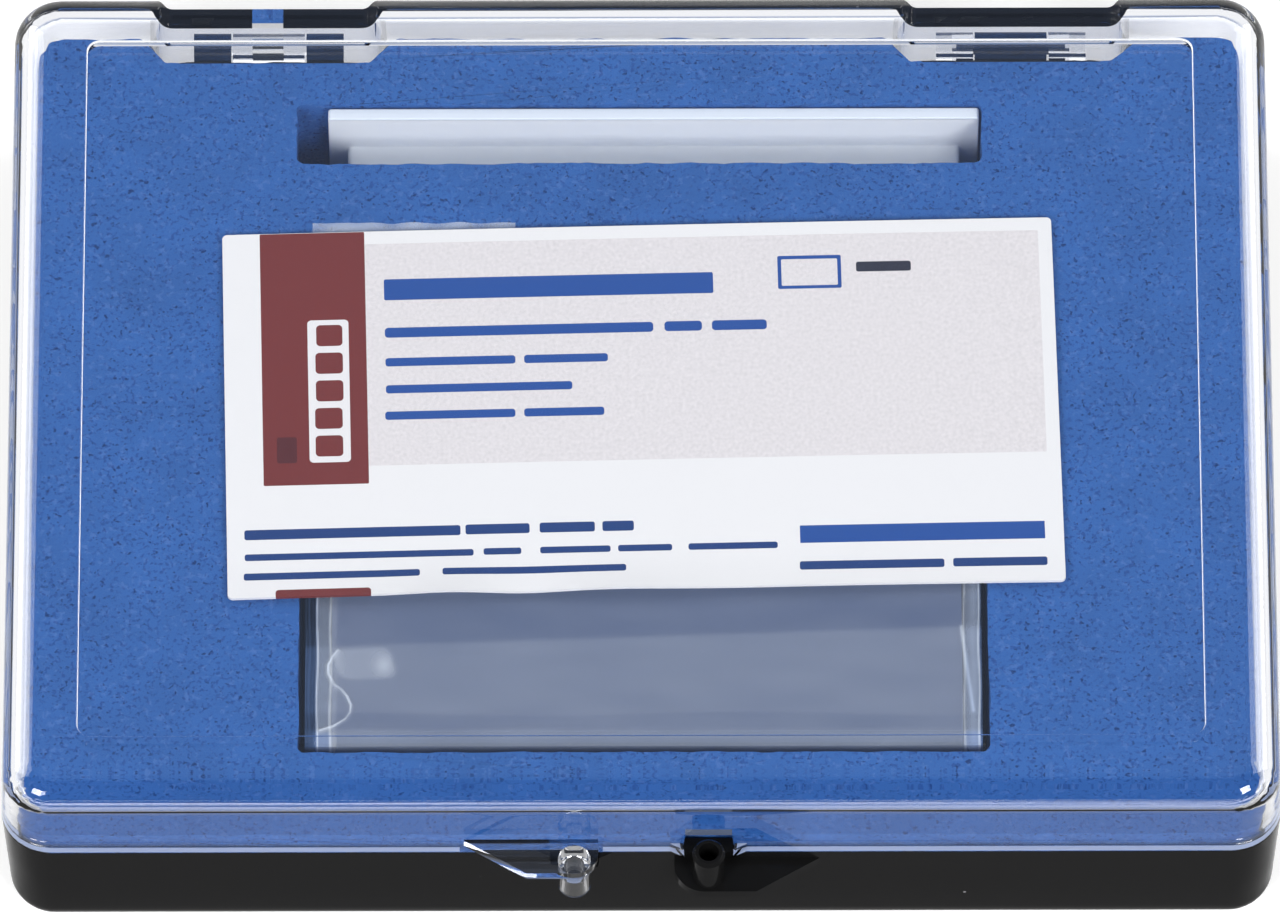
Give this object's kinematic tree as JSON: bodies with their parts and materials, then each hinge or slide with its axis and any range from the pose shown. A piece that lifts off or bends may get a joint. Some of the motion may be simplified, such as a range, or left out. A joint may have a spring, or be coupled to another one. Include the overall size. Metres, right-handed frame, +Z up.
{
  "type": "cuvette in a hinged storage case",
  "caption": "Long-path semi-micro glass cuvette with its stopper plate and film sleeve, in a foam-lined storage case with a clear hinged lid.",
  "frame": {"origin": "middle of the flat underside of the case", "axes": "+Z up out of the closed lid, +Y towards the hinges, +X along the cell's optical path"},
  "size_m": [0.1012, 0.0785, 0.0209],
  "materials": {
    "black_shell": "moulded, glossy",
    "clear_shell": "crystal clear, glossy",
    "foam": "fine open-cell foam",
    "window_glass": "polished",
    "frosted_glass": "ground sides",
    "white_stopper": "waxy, satin",
    "film": "thin clear film",
    "card": "printed, satin"
  },
  "bodies": {
    "lower_case": {"case_base": "black_shell", "foam_insert": "foam", "cell_window_left": "window_glass", "cell_window_right": "window_glass", "cell_side_lower": "frosted_glass", "cell_side_upper": "frosted_glass", "cell_floor": "frosted_glass", "stopper_plate": "white_stopper", "film_sleeve": "film", "label_card": "card"},
    "lid": {"case_lid": "clear_shell"}
  },
  "joints": [
    {"name": "lid_hinge", "type": "hinge", "parent": "lower_case", "child": "lid", "pos_m": [0, 0.037, 0.0128], "axis": [-1, 0, 0], "range_deg": [0, 105]}
  ]
}
